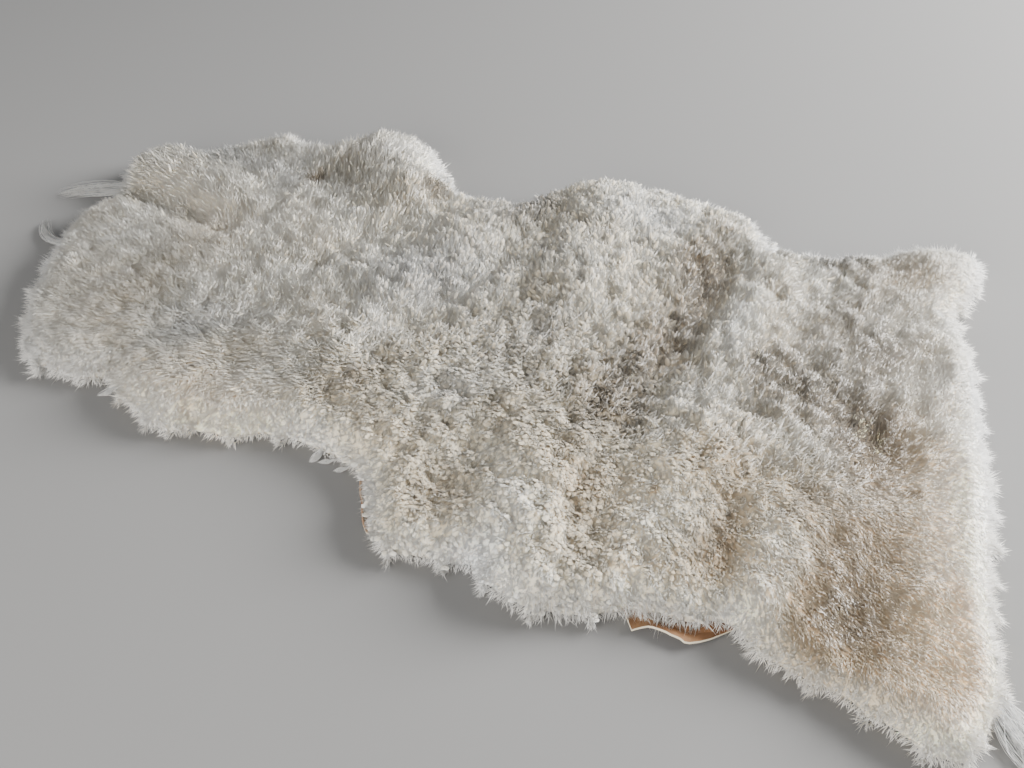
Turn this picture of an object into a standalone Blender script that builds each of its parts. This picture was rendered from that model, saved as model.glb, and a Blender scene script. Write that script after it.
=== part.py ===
"""Sheepskin rug: one tanned hide lying wool side up, with its fleece.

The skin lies flat on the floor with the neck towards -X, the rump towards +X, and +Z up.
Both pieces are the same sheet of cells, bent to the outline of the skin: the hide is its
thin lower layer, and the fleece is the lumpy slab of wool above it, with locks at its rim.
"""
import math
import random

import bmesh
import bpy
import numpy as np
from mathutils import Matrix, Vector, noise

# ---- driving sizes, in metres ----
GAP = 0.0003                # clearance between the hide and the wool above it
HIDE_THICKNESS = 0.002      # tanned skin
PILE = 0.034                # depth of the wool over the middle of the skin
RIM_ROUND = 0.030           # the wool reaches its full depth this far in from its rim
RIM_WALL = 0.0085           # height of the upright rim that the locks grow from
UNDERCUT = 0.012            # the wool's underside rises over this width towards the rim
UNDERCUT_RISE = 0.0022
TUFT_SIZE = 0.036           # width and height of one tuft of the pile
TUFT_RISE = 0.0120
SWELL_SIZE = 0.105          # width and height of the slow swells over the whole fleece
SWELL_RISE = 0.0055

# ---- locks at the rim ----
WIDEST_ROOT = 0.019         # a wider rim face carries two locks
LOCK_REACH = 0.012          # usual length of a lock past the rim
LOCK_HEIGHT = 0.0070        # thickness of a lock at its root
LOCK_SLIM = 0.60            # its width there, as a share of its root's
LOCK_DROP = 0.0065          # how far it hangs below its root
LOCK_SPREAD = 9.0           # degrees that a lock may turn aside
FLOOR_CLEAR = 0.0006        # a lock that lies on the floor clears it by this much
STANDING_EVERY = 3          # one lock in three stands out level instead of hanging
FULL_EVERY = 2              # one lock in two has a full middle, the others are thin points
SEED = 11

# ---- the sheet of cells ----
RIM_ROWS = (0.007, 0.013, 0.021)    # rows this far in from the outline, then even ones
EVEN_FROM = 0.031
CELLS_ALONG = 68
CELLS_ACROSS = 30
LENGTH = 1.13                       # mean lengths that turn a row's inset into a share
WIDTH = 0.60
HIDE_RIM_ROWS = (0.0150, 0.0180)    # the hide's two outer rows, in under the wool
SHOWN_ROOT = 0.002                  # where the hide shows, its second row is this far in
SHOWN_ROOT_LIFT = 0.12              # and takes this share of the edge's lift
SHOWN_ROOM = 0.008                  # no lock grows this near to either end of a shown edge

# ---- outline of the fleece: landmark, along, across ----
NEAR_SIDE = (
    ("neck corner", -0.478, -0.207),
    ("cheek", -0.440, -0.225),
    ("cheek end", -0.386, -0.225),
    ("throat dip", -0.362, -0.213),
    ("throat", -0.328, -0.235),
    ("shoulder point", -0.289, -0.256),
    ("shoulder point end", -0.252, -0.264),
    ("shoulder notch", -0.238, -0.245),
    ("shoulder", -0.198, -0.251),
    ("armpit start", -0.151, -0.227),
    ("armpit", -0.061, -0.238),
    ("foreleg inside", -0.036, -0.258),
    ("foreleg side", -0.014, -0.296),
    ("foreleg tip", 0.013, -0.323),
    ("foreleg end", 0.077, -0.318),
    ("belly dip", 0.103, -0.314),
    ("belly start", 0.127, -0.333),
    ("belly", 0.160, -0.341),
    ("belly end", 0.208, -0.334),
    ("flank start", 0.250, -0.311),
    ("flank", 0.305, -0.304),
    ("flank end", 0.338, -0.292),
    ("hind leg start", 0.379, -0.317),
    ("hind leg", 0.448, -0.333),
    ("hind leg end", 0.520, -0.360),
    ("rump corner", 0.553, -0.353),
)
RUMP_END = (
    ("near corner", 0.553, -0.353),
    ("near leg", 0.574, -0.270),
    ("near leg end", 0.561, -0.200),
    ("near buttock", 0.551, -0.060),
    ("tail", 0.533, 0.030),
    ("far buttock", 0.513, 0.145),
    ("notch", 0.489, 0.213),
    ("far leg start", 0.502, 0.250),
    ("far leg", 0.514, 0.302),
    ("far corner", 0.496, 0.344),
)
FAR_SIDE = (
    ("neck corner", -0.560, 0.180),
    ("nape", -0.515, 0.208),
    ("nape dip", -0.482, 0.212),
    ("scruff", -0.418, 0.281),
    ("scruff end", -0.357, 0.271),
    ("foreleg start", -0.316, 0.297),
    ("foreleg tip", -0.266, 0.340),
    ("foreleg end", -0.217, 0.325),
    ("foreleg inside", -0.184, 0.287),
    ("armpit", -0.155, 0.247),
    ("armpit end", -0.070, 0.237),
    ("chest step", -0.042, 0.260),
    ("chest corner", -0.018, 0.298),
    ("chest", 0.052, 0.325),
    ("belly", 0.130, 0.330),
    ("belly end", 0.205, 0.318),
    ("flank step", 0.242, 0.300),
    ("flank", 0.268, 0.262),
    ("flank end", 0.331, 0.271),
    ("hind leg start", 0.400, 0.306),
    ("hind leg", 0.440, 0.332),
    ("rump corner", 0.496, 0.344),
)
NECK_END = (
    ("near corner", -0.478, -0.207),
    ("jaw", -0.510, -0.165),
    ("jaw end", -0.531, -0.125),
    ("neck", -0.560, -0.045),
    ("neck end", -0.571, 0.025),
    ("flap notch", -0.556, 0.075),
    ("flap tip", -0.573, 0.125),
    ("far corner", -0.560, 0.180),
)

# ---- folds: name, start along and across, end along and across, half width,
#      how far the hide lifts off the floor, how much deeper the wool stands ----
FOLDS = (
    ("far foreleg puff", -0.255, 0.262, -0.200, 0.190, 0.072, 0.016, 0.004),
    ("neck flap", -0.520, 0.135, -0.410, 0.118, 0.050, 0.009, 0.005),
    ("neck crease", -0.545, 0.077, -0.375, 0.050, 0.032, 0.000, -0.013),
    ("nape hollow", -0.330, 0.205, -0.280, 0.185, 0.040, 0.000, -0.008),
    ("shoulder crease", -0.145, 0.200, -0.235, 0.020, 0.034, 0.000, -0.008),
    ("withers ridge", -0.080, 0.180, -0.120, 0.010, 0.050, 0.007, 0.002),
    ("back valley", -0.010, 0.190, -0.100, -0.090, 0.040, 0.000, -0.009),
    ("throat valley", -0.375, -0.190, -0.250, -0.068, 0.036, 0.000, -0.008),
    ("shoulder swell", -0.290, -0.205, -0.150, -0.195, 0.050, 0.000, 0.006),
    ("chest ridge", 0.050, 0.265, 0.075, 0.070, 0.070, 0.011, 0.002),
    ("loin trough upper", 0.222, 0.240, 0.200, 0.020, 0.042, 0.000, -0.010),
    ("loin trough lower", 0.195, -0.030, 0.190, -0.250, 0.034, 0.000, -0.008),
    ("loin ridge upper", 0.285, 0.200, 0.258, 0.020, 0.050, 0.009, 0.002),
    ("loin ridge lower", 0.255, -0.040, 0.258, -0.210, 0.040, 0.000, 0.005),
    ("belly ridge", 0.118, -0.190, 0.150, -0.300, 0.050, 0.008, 0.003),
    ("foreleg hollow", 0.045, -0.180, 0.058, -0.290, 0.042, 0.000, -0.009),
    ("flank hollow", 0.316, -0.130, 0.312, -0.265, 0.034, 0.000, -0.008),
    ("thigh ridge", 0.375, -0.160, 0.358, -0.280, 0.038, 0.000, 0.006),
    ("hip hollow", 0.385, 0.010, 0.445, -0.060, 0.040, 0.000, -0.008),
    ("thigh hollow", 0.452, -0.180, 0.445, -0.290, 0.038, 0.000, -0.009),
    ("far rump puff", 0.450, 0.278, 0.470, 0.262, 0.052, 0.008, 0.003),
    ("rump crease", 0.495, 0.208, 0.420, 0.150, 0.028, 0.000, -0.011),
    ("rump roll", 0.485, 0.110, 0.530, -0.290, 0.040, 0.000, 0.004),
)

# ---- where the hide shows past the wool: name, side, from and to along, reach, lift ----
SHOWING = (
    ("flank edge", "near", 0.246, 0.342, 0.013, 0.0085),
    ("foreleg edge", "near", -0.046, -0.012, 0.004, 0.0030),
    ("far flank tip", "far", 0.206, 0.238, 0.008, 0.0050),
)

# ---- long loose locks: name, root along and across, heading in degrees, bend in
#      degrees over the whole length, length, width, height ----
LOOSE_LOCKS = (
    ("nape wisp", -0.556, 0.086, 186.0, 26.0, 0.088, 0.019, 0.010),
    ("neck curl", -0.566, -0.030, 190.0, -75.0, 0.062, 0.009, 0.007),
    ("armpit drop", -0.112, -0.229, 264.0, 6.0, 0.018, 0.008, 0.007),
    ("armpit drop two", -0.090, -0.231, 254.0, 8.0, 0.022, 0.008, 0.007),
    ("armpit drop three", -0.056, -0.238, 232.0, -8.0, 0.026, 0.008, 0.006),
    ("throat tuft", -0.346, -0.222, 225.0, 6.0, 0.020, 0.010, 0.008),
    ("rump wisp", 0.571, -0.288, 320.0, -18.0, 0.092, 0.017, 0.009),
)
LOOSE_SHAPE = (0.55, 0.95, 1.0, 0.6)    # shares of its width and height along a loose lock
LOOSE_ROOM = 0.013                      # no other lock grows this near to a loose one


# ---- outline and sheet ----
def smooth_points(rows, steps=6):
    """Points of a smooth line through the landmarks (Catmull-Rom), ends included."""
    marks = [Vector((row[1], row[2])) for row in rows]
    ends = [marks[0] * 2 - marks[1]] + marks + [marks[-1] * 2 - marks[-2]]
    line = []
    for k in range(1, len(ends) - 2):
        before, start, stop, after = ends[k - 1:k + 3]
        for step in range(steps):
            t = step / steps
            line.append(0.5 * (2 * start + (stop - before) * t
                               + (2 * before - 5 * start + 4 * stop - after) * t ** 2
                               + (3 * start - before - 3 * stop + after) * t ** 3))
    line.append(marks[-1])
    return line


class Edge:
    """One of the four stretches of the outline, read by the share of its length."""

    def __init__(self, rows):
        self.points = smooth_points(rows)
        self.walked = [0.0]
        for a, b in zip(self.points, self.points[1:]):
            self.walked.append(self.walked[-1] + (b - a).length)

    def at(self, share):
        """The point at a share of the length; a little past either end goes straight on."""
        goal = share * self.walked[-1]
        k = 1
        while k < len(self.walked) - 1 and self.walked[k] < goal:
            k += 1
        part = (goal - self.walked[k - 1]) / (self.walked[k] - self.walked[k - 1])
        return self.points[k - 1].lerp(self.points[k], part)


NEAR, FAR = Edge(NEAR_SIDE), Edge(FAR_SIDE)
NECK, RUMP = Edge(NECK_END), Edge(RUMP_END)
OUTLINE = np.array(NEAR.points + RUMP.points[1:] + FAR.points[-2::-1] + NECK.points[-2:0:-1])
OUTLINE_STEPS = np.roll(OUTLINE, -1, axis=0) - OUTLINE


def skin_point(u, v):
    """Place on the floor of share u from neck to rump and share v from near to far side."""
    sides = NEAR.at(u).lerp(FAR.at(u), v)
    ends = NECK.at(v).lerp(RUMP.at(v), u)
    corners = NEAR.at(0).lerp(NEAR.at(1), u).lerp(FAR.at(0).lerp(FAR.at(1), u), v)
    return sides + ends - corners


def row_shares(cells, span):
    """Shares of the rows across one direction: the rim rows, then even ones, mirrored."""
    even = cells - 2 * len(RIM_ROWS)
    first = [inset / span for inset in RIM_ROWS]
    start = EVEN_FROM / span
    middle = [start + (1 - 2 * start) * k / even for k in range(even + 1)]
    return first + middle + [1 - share for share in reversed(first)]


U_SHARES = row_shares(CELLS_ALONG, LENGTH)
V_SHARES = row_shares(CELLS_ACROSS, WIDTH)


def inset_of(point):
    """Distance from a point to the outline."""
    away = np.array(point) - OUTLINE
    share = (away * OUTLINE_STEPS).sum(axis=1) / (OUTLINE_STEPS ** 2).sum(axis=1)
    away = away - OUTLINE_STEPS * np.clip(share, 0.0, 1.0)[:, None]
    return float(np.hypot(away[:, 0], away[:, 1]).min())


# ---- heights ----
def fold_share(point, row):
    """How strongly one fold acts at a point: 1 on its line, fading to 0 at its half width."""
    start, stop, half_width = Vector(row[1:3]), Vector(row[3:5]), row[5]
    line = stop - start
    share = max(0.0, min(1.0, (point - start).dot(line) / line.length_squared))
    away = (start + line * share - point).length / half_width
    return (1 - away * away) ** 2 if away < 1 else 0.0


def hide_rise(point):
    """Height of the hide's underside above the floor."""
    return sum(fold_share(point, row) * row[6] for row in FOLDS)


def wool_depth(point):
    """Depth of the wool at a point: rounded down to the rim, folded, and tufted."""
    depth = PILE + sum(fold_share(point, row) * row[7] for row in FOLDS)
    swell = noise.noise(Vector((point.x, point.y, 0.031)) / SWELL_SIZE)
    tuft = noise.voronoi(Vector((point.x, point.y, 0.017)) / TUFT_SIZE)[0][0]
    depth += SWELL_RISE * swell + TUFT_RISE * (0.5 - min(1.0, tuft))
    inner = min(1.0, max(0.0, (inset_of(point) - RIM_ROWS[0]) / RIM_ROUND))
    return depth * math.sqrt(1 - (1 - inner) ** 2)


# ---- shared steps ----
def skin_sheet():
    """A grid of triangles bent to the outline, and each point with its row and column."""
    bm = bmesh.new()
    bmesh.ops.create_grid(bm, x_segments=CELLS_ALONG, y_segments=CELLS_ACROSS, size=1.0)
    bmesh.ops.triangulate(bm, faces=bm.faces[:], quad_method='FIXED')
    places = []
    for vert in bm.verts:
        i = round((vert.co.x + 1) / 2 * CELLS_ALONG)
        j = round((vert.co.y + 1) / 2 * CELLS_ACROSS)
        vert.co = skin_point(U_SHARES[i], V_SHARES[j]).to_3d()
        places.append((vert, i, j))
    return bm, places


def plain_material(name, colour, roughness):
    """A plain Principled material."""
    made = bpy.data.materials.new(name)
    made.use_nodes = True
    shader = made.node_tree.nodes["Principled BSDF"]
    shader.inputs["Base Color"].default_value = (*colour, 1.0)
    shader.inputs["Roughness"].default_value = roughness
    shader.inputs["Metallic"].default_value = 0.0
    return made


def add_piece(bm, name, material):
    """Turn a bmesh into a named object of the rug, with its faces pointing out."""
    bmesh.ops.recalc_face_normals(bm, faces=bm.faces[:])
    mesh = bpy.data.meshes.new(name)
    bm.to_mesh(mesh)
    bm.free()
    mesh.materials.append(material)
    piece = bpy.data.objects.new(name, mesh)
    RUG.objects.link(piece)
    return piece


# ---- the hide ----
def shown(point, side):
    """Reach and lift of the hide's edge where it shows past the wool, or two zeros."""
    for _, where, start, stop, reach, lift in SHOWING:
        if where == side and start < point.x < stop:
            share = math.sin(math.pi * (point.x - start) / (stop - start))
            return reach * math.sqrt(share), lift * share
    return 0.0, 0.0


def hide_edge_point(i, j, edge_row):
    """Place and lift of a point in one of the hide's two outer rows."""
    inset_u = HIDE_RIM_ROWS[edge_row] / LENGTH
    inset_v = HIDE_RIM_ROWS[edge_row] / WIDTH
    u = min(max(U_SHARES[i], inset_u), 1 - inset_u)
    v = min(max(V_SHARES[j], inset_v), 1 - inset_v)
    spot = skin_point(u, v)
    near, far = j < 2, CELLS_ACROSS - j < 2
    reach, lift = shown(spot, "near" if near else "far" if far else "")
    if not reach:
        return spot, 0.0
    past = (reach if edge_row == 0 else -SHOWN_ROOT) / WIDTH
    spot = skin_point(u, -past if near else 1 + past)
    return spot, lift * (1.0 if edge_row == 0 else SHOWN_ROOT_LIFT)


def make_hide():
    """The tanned skin: one thin sheet, on the floor but for its folds and shown edges."""
    bm, places = skin_sheet()
    for vert, i, j in places:
        spot, lift = vert.co.to_2d(), 0.0
        edge_row = min(i, CELLS_ALONG - i, j, CELLS_ACROSS - j)
        if edge_row < 2:
            spot, lift = hide_edge_point(i, j, edge_row)
        vert.co = (spot.x, spot.y, HIDE_THICKNESS + hide_rise(spot) + lift)
    hide = add_piece(bm, "hide", plain_material("tanned_hide", (0.56, 0.40, 0.22), 0.62))
    thicken = hide.modifiers.new("thickness", 'SOLIDIFY')
    thicken.thickness = HIDE_THICKNESS
    thicken.offset = -1.0
    return hide


# ---- the fleece ----
def wool_slab():
    """The slab of wool over the hide, still without locks."""
    bm, _ = skin_sheet()
    wide = [edge for edge in bm.edges if edge.is_boundary and edge.calc_length() > WIDEST_ROOT]
    bmesh.ops.subdivide_edges(bm, edges=wide, cuts=1)
    bmesh.ops.triangulate(bm, faces=bm.faces[:])
    for vert in bm.verts:
        spot = vert.co.to_2d()
        edge = max(0.0, 1 - (inset_of(spot) - RIM_ROWS[0]) / UNDERCUT)
        vert.co.z = HIDE_THICKNESS + GAP + hide_rise(spot) + UNDERCUT_RISE * edge ** 2
    made = bmesh.ops.extrude_face_region(bm, geom=bm.faces[:])
    for vert in made["geom"]:
        if isinstance(vert, bmesh.types.BMVert):
            vert.co.z += max(RIM_WALL, wool_depth(vert.co.to_2d()))
    bmesh.ops.recalc_face_normals(bm, faces=bm.faces[:])
    return bm


def way_round(spot):
    """Angle at which a point of the rim lies, seen from the middle of the skin."""
    return math.atan2(spot.y, spot.x)


def lock_roots(bm):
    """The upright faces round the rim, in their order round the skin."""
    walls = [face for face in bm.faces if len(face.verts) == 4]
    return sorted(walls, key=lambda face: way_round(face.calc_center_median()))


def draw_lock(bm, face, path, width, height, shape):
    """Draw one rim face out along a path: a section for each share, then a pointed tip."""
    for k, (spot, share) in enumerate(zip(path, shape)):
        face = bmesh.ops.extrude_discrete_faces(bm, faces=[face])["faces"][0]
        centre = face.calc_center_median()
        side = (path[k + 1] - spot).cross(Vector((0, 0, 1))).normalized()
        for vert in face.verts:
            across = math.copysign(width * share / 2, (vert.co - centre).dot(side))
            upward = math.copysign(height * share / 2, vert.co.z - centre.z)
            vert.co = spot + side * across + Vector((0, 0, upward))
    bmesh.ops.poke(bm, faces=[face])["verts"][0].co = path[-1]


def rim_lock(face, order, luck):
    """Path of one usual lock: a little aside of straight out, hanging or standing."""
    root = face.calc_center_median()
    turn = Matrix.Rotation(math.radians(luck.uniform(-LOCK_SPREAD, LOCK_SPREAD)), 3, 'Z')
    out = turn @ Vector((face.normal.x, face.normal.y, 0.0)).normalized()
    reach = LOCK_REACH * luck.uniform(0.65, 1.25)
    drop = -0.3 * LOCK_DROP if order % STANDING_EVERY == 0 else LOCK_DROP
    lowest = FLOOR_CLEAR + LOCK_HEIGHT * LOCK_SLIM / 2
    middle = root + out * reach * 0.5
    middle.z = max(lowest, root.z - drop)
    tip = root + out * reach
    tip.z = max(FLOOR_CLEAR, middle.z - drop * 0.4)
    return [middle, tip]


def loose_lock(root, row):
    """Path of one long loose lock, which bends as it goes and settles on the floor."""
    _, _, _, heading, bend, length, _, height = row
    angle = math.radians(heading)
    steps = len(LOOSE_SHAPE) + 1
    path, spot = [], root
    for k, share in enumerate(LOOSE_SHAPE + (0.0,)):
        spot = spot + Vector((math.cos(angle), math.sin(angle), 0.0)) * length / steps
        spot.z = max(FLOOR_CLEAR + height * share / 2, root.z - LOCK_DROP * (k + 1))
        path.append(spot)
        angle += math.radians(bend / steps)
    return path


def in_showing(spot):
    """Whether the hide shows here, so that no lock hides it."""
    side = "near" if spot.y < 0 else "far"
    return any(row[1] == side and row[2] - SHOWN_ROOM < spot.x < row[3] + SHOWN_ROOM
               for row in SHOWING)


def make_fleece():
    """The wool: a lumpy slab, with a lock on each face of its rim and a few loose ones."""
    bm = wool_slab()
    roots = lock_roots(bm)
    luck = random.Random(SEED)
    locks = []
    for row in LOOSE_LOCKS:
        mark = Vector((*row[1:3], RIM_WALL))
        face = min(roots, key=lambda face: (face.calc_center_median() - mark).length)
        root = face.calc_center_median()
        roots = [other for other in roots
                 if (other.calc_center_median() - root).length > LOOSE_ROOM]
        locks.append((face, loose_lock(root, row), row[6], row[7], LOOSE_SHAPE))
    for order, face in enumerate(roots):
        if not in_showing(face.calc_center_median()):
            width = max(edge.calc_length() for edge in face.edges)
            path = rim_lock(face, order, luck)
            shape = () if order % FULL_EVERY else (LOCK_SLIM,)
            locks.append((face, path[-1 - len(shape):], width, LOCK_HEIGHT, shape))
    for lock in locks:
        draw_lock(bm, *lock)
    return add_piece(bm, "fleece", plain_material("cream_wool", (0.80, 0.73, 0.60), 0.95))


def centre_on_floor(pieces):
    """Put the middle of the rug's box over the origin."""
    across = np.array([vert.co[:2] for piece in pieces for vert in piece.data.vertices])
    middle = (across.min(axis=0) + across.max(axis=0)) / 2
    for piece in pieces:
        piece.location = (-middle[0], -middle[1], 0.0)


for old in list(bpy.data.objects):
    bpy.data.objects.remove(old, do_unlink=True)
RUG = bpy.data.collections.new("sheepskin_rug")
bpy.context.scene.collection.children.link(RUG)
centre_on_floor([make_hide(), make_fleece()])
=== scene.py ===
# %% [markdown]
# # A sheepskin rug
#
# The real thing is one tanned skin that lies wool side up on a floor. Seen from above there
# is almost only wool: thousands of small pointed locks, curly like crumbs over the back,
# combed and finer at the neck and the rump, with long hairs round the rim. The skin under it
# shows in a few places only, as a thin tan strip of leather.
#
# The imported model gives the size, the outline and the big folds. This script dresses it: it
# reads the model's surface, grows real mesh locks on it, and gives wool and leather their
# finish. We start by loading the model and keeping its box, which the raster below spans.

import math

import bmesh
import bpy
import numpy as np
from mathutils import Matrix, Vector, kdtree, noise
from mathutils.bvhtree import BVHTree


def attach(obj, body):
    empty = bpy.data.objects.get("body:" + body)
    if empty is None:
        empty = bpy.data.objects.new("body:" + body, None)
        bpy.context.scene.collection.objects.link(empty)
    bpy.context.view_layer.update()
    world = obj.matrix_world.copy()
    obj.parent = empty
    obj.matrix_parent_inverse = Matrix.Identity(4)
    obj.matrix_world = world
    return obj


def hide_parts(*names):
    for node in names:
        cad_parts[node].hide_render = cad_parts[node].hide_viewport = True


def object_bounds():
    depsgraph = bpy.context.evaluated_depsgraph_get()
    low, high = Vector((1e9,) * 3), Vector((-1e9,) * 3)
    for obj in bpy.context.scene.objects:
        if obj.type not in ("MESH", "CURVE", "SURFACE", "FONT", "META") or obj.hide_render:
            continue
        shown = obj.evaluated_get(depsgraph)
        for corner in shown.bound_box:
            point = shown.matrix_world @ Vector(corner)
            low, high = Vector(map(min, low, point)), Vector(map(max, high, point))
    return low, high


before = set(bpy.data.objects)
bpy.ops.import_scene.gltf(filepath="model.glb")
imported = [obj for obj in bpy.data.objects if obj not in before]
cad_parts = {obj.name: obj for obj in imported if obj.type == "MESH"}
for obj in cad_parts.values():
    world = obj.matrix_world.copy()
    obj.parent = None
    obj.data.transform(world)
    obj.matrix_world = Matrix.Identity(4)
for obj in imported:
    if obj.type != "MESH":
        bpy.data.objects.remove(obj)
CAD_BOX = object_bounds()
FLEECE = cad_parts["fleece"]
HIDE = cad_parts["hide"]
print("model box, mm:", [[round(1000 * x) for x in corner] for corner in CAD_BOX])

# %% [markdown]
# ## Camera
#
# A camera can be placed by eye, or worked out from the picture. Here it was worked out: the
# length taken for the rug and the way its far side shrinks give the height, the downward look
# and the turn. The lens stays a plain one, with no shift and no blur.

# %% Camera at the picture's angle
EYE = (0.374, -0.899, 0.860)
LOOK = (46.7, 0.0, 20.85)  # degrees: up from straight down, roll, turn about the vertical
LENS = 40.43               # mm
SENSOR = 36.0              # mm wide


def in_scene(name, data):
    """A new object with this name and data, linked to the scene."""
    made = bpy.data.objects.new(name, data)
    bpy.context.scene.collection.objects.link(made)
    return made


camera = in_scene("camera", bpy.data.cameras.new("camera"))
camera.location = EYE
camera.rotation_euler = [math.radians(angle) for angle in LOOK]
camera.data.lens = LENS
camera.data.sensor_width = SENSOR
bpy.context.scene.camera = camera
print("camera height, m:", EYE[2])

# %% [markdown]
# ## Floor and light
#
# Wool looks soft under a large light and turns to gravel under a small one. A wide panel of
# daylight stands behind the rug, as a window would, and rakes low over it, so that every fold
# has a lit side and a shaded one. A weak warm panel in front keeps the shaded sides open, and
# the floor is a plain pale grey, so that it doesn't outshine the wool.

# %% Light
LIGHTS = (
    # name, place, aim, width, height, watts, colour
    ("window", (2.3, 1.7, 1.30), (0.0, 0.0, 0.0), 2.0, 1.4, 475.0, (1.0, 0.985, 0.96)),
    ("room", (-0.5, -2.1, 0.95), (0.0, 0.0, 0.0), 2.6, 1.2, 82.0, (1.0, 0.97, 0.92)),
)
AIR_TINT = (0.95, 0.97, 1.0, 1.0)  # the light that comes from all round
AIR_LIGHT = 0.35

for name, place, aim, width, height, watts, colour in LIGHTS:
    lamp = bpy.data.lights.new(name, 'AREA')
    lamp.shape = 'RECTANGLE'
    lamp.size = width
    lamp.size_y = height
    lamp.energy = watts
    lamp.color = colour
    stand = in_scene(name, lamp)
    stand.location = place
    stand.rotation_euler = (Vector(aim) - Vector(place)).to_track_quat('-Z', 'Y').to_euler()

world = bpy.data.worlds.new("room_air")
world.use_nodes = True
air = world.node_tree.nodes["Background"].inputs
air["Color"].default_value = AIR_TINT
air["Strength"].default_value = AIR_LIGHT
bpy.context.scene.world = world
print("lights:", len(LIGHTS))

# %% Floor
FLOOR_HALF = 4.0     # metres from its middle to each side
FLOOR_DROP = 0.0005  # it lies this far below the hide, so that they never flicker
FLOOR_TINT = (0.19, 0.19, 0.19, 1)
FLOOR_ROUGHNESS = 0.8

ends = (-FLOOR_HALF, FLOOR_HALF)
floor_mesh = bpy.data.meshes.new("floor")
floor_mesh.from_pydata([(x, y, 0) for y in ends for x in ends], [], [(0, 1, 3, 2)])
floor = in_scene("floor", floor_mesh)
floor.location.z = -FLOOR_DROP
paint = bpy.data.materials.new("pale_floor")
paint.use_nodes = True
matt = paint.node_tree.nodes["Principled BSDF"].inputs
matt["Base Color"].default_value = FLOOR_TINT
matt["Roughness"].default_value = FLOOR_ROUGHNESS
floor_mesh.materials.append(paint)
print("floor, m:", 2 * FLOOR_HALF)

# %% [markdown]
# ## Reading the wool's surface
#
# To grow locks we need to know, for any spot of the rug, how high the wool stands, which way
# its surface faces and how far the rim is. One could ask the mesh for each lock. It's quicker
# to look straight down on it once, on a fine raster, and then to read between the cells.

# %% Look down on the fleece, cell by cell
CELL = 0.003        # metres between two looks
SLAB_EDGE = 0.0115  # lower than this is a lock of the rim, not the slab
LOOK_FROM = 0.3     # metres above the floor, higher than any wool
TOP_BLUR = 2        # how often the heights are averaged with their neighbours

fleece_tree = BVHTree.FromPolygons([vert.co for vert in FLEECE.data.vertices],
                                   [face.vertices for face in FLEECE.data.polygons])
LOW = np.array(CAD_BOX[0])
XS = np.arange(CAD_BOX[0][0], CAD_BOX[1][0] + CELL, CELL)
YS = np.arange(CAD_BOX[0][1], CAD_BOX[1][1] + CELL, CELL)


def look_down(x, y):
    """Height of the fleece at a spot, or nought beside it."""
    spot = fleece_tree.ray_cast(Vector((x, y, LOOK_FROM)), Vector((0, 0, -1)))[0]
    return spot.z if spot else 0.0


def blurred(grid, times):
    """A raster with each cell averaged with its neighbours."""
    for _ in range(times):
        wide = np.pad(grid, 1, mode="edge")
        rows = (wide[:-2] + 2 * wide[1:-1] + wide[2:]) / 4
        grid = (rows[:, :-2] + 2 * rows[:, 1:-1] + rows[:, 2:]) / 4
    return grid


def at(grid, x, y):
    """A raster's value between its cells."""
    i = np.clip((x - LOW[0]) / CELL, 0, len(XS) - 1.001)
    j = np.clip((y - LOW[1]) / CELL, 0, len(YS) - 1.001)
    a, b = np.floor(i).astype(int), np.floor(j).astype(int)
    s, t = i - a, j - b
    return ((1 - s) * (1 - t) * grid[a, b] + s * (1 - t) * grid[a + 1, b]
            + (1 - s) * t * grid[a, b + 1] + s * t * grid[a + 1, b + 1])


TOP = np.array([[look_down(x, y) for y in YS] for x in XS])
SLAB = TOP > SLAB_EDGE
TOP = blurred(np.where(SLAB, TOP, SLAB_EDGE), TOP_BLUR)
print("cells on the slab:", int(SLAB.sum()), "area, m2:", round(SLAB.sum() * CELL ** 2, 3))

# %% Distance to the rim, and the way out
NEAREST = 10  # rim cells that are averaged for the way out
BEYOND = 10   # rings of cells outside the rim that get a way out as well
WAY_BLUR = 3

inner = SLAB.copy()
for axis, step in ((0, 1), (0, -1), (1, 1), (1, -1)):
    inner &= np.roll(SLAB, step, axis)
rim_cells = np.argwhere(SLAB & ~inner)
rim_tree = kdtree.KDTree(len(rim_cells))
for k, (i, j) in enumerate(rim_cells):
    rim_tree.insert((XS[i], YS[j], 0), k)
rim_tree.balance()

INSET = np.zeros(SLAB.shape)
OUT_X = np.zeros(SLAB.shape)
OUT_Y = np.zeros(SLAB.shape)
for i, j in np.argwhere(SLAB | (blurred(SLAB.astype(float), BEYOND) > 0)):
    here = Vector((XS[i], YS[j], 0))
    found = rim_tree.find_n(here, NEAREST)
    way = sum((row[0] for row in found), Vector()) / NEAREST - here
    if not SLAB[i, j]:
        way = -way
    INSET[i, j] = found[0][2] if SLAB[i, j] else -found[0][2]
    OUT_X[i, j], OUT_Y[i, j] = way.normalized()[:2]
OUT_X, OUT_Y = blurred(OUT_X, WAY_BLUR), blurred(OUT_Y, WAY_BLUR)
print("deepest spot from the rim, mm:", round(1000 * INSET.max()))

# %% [markdown]
# ## How the wool lies
#
# Wool isn't the same all over a skin. A groomer would describe it place by place: which way
# it's combed, how flat, how long and how curly. That's what this table does. Each strand
# takes the mean of the places round it, so the wool changes slowly from one to the next.

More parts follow.
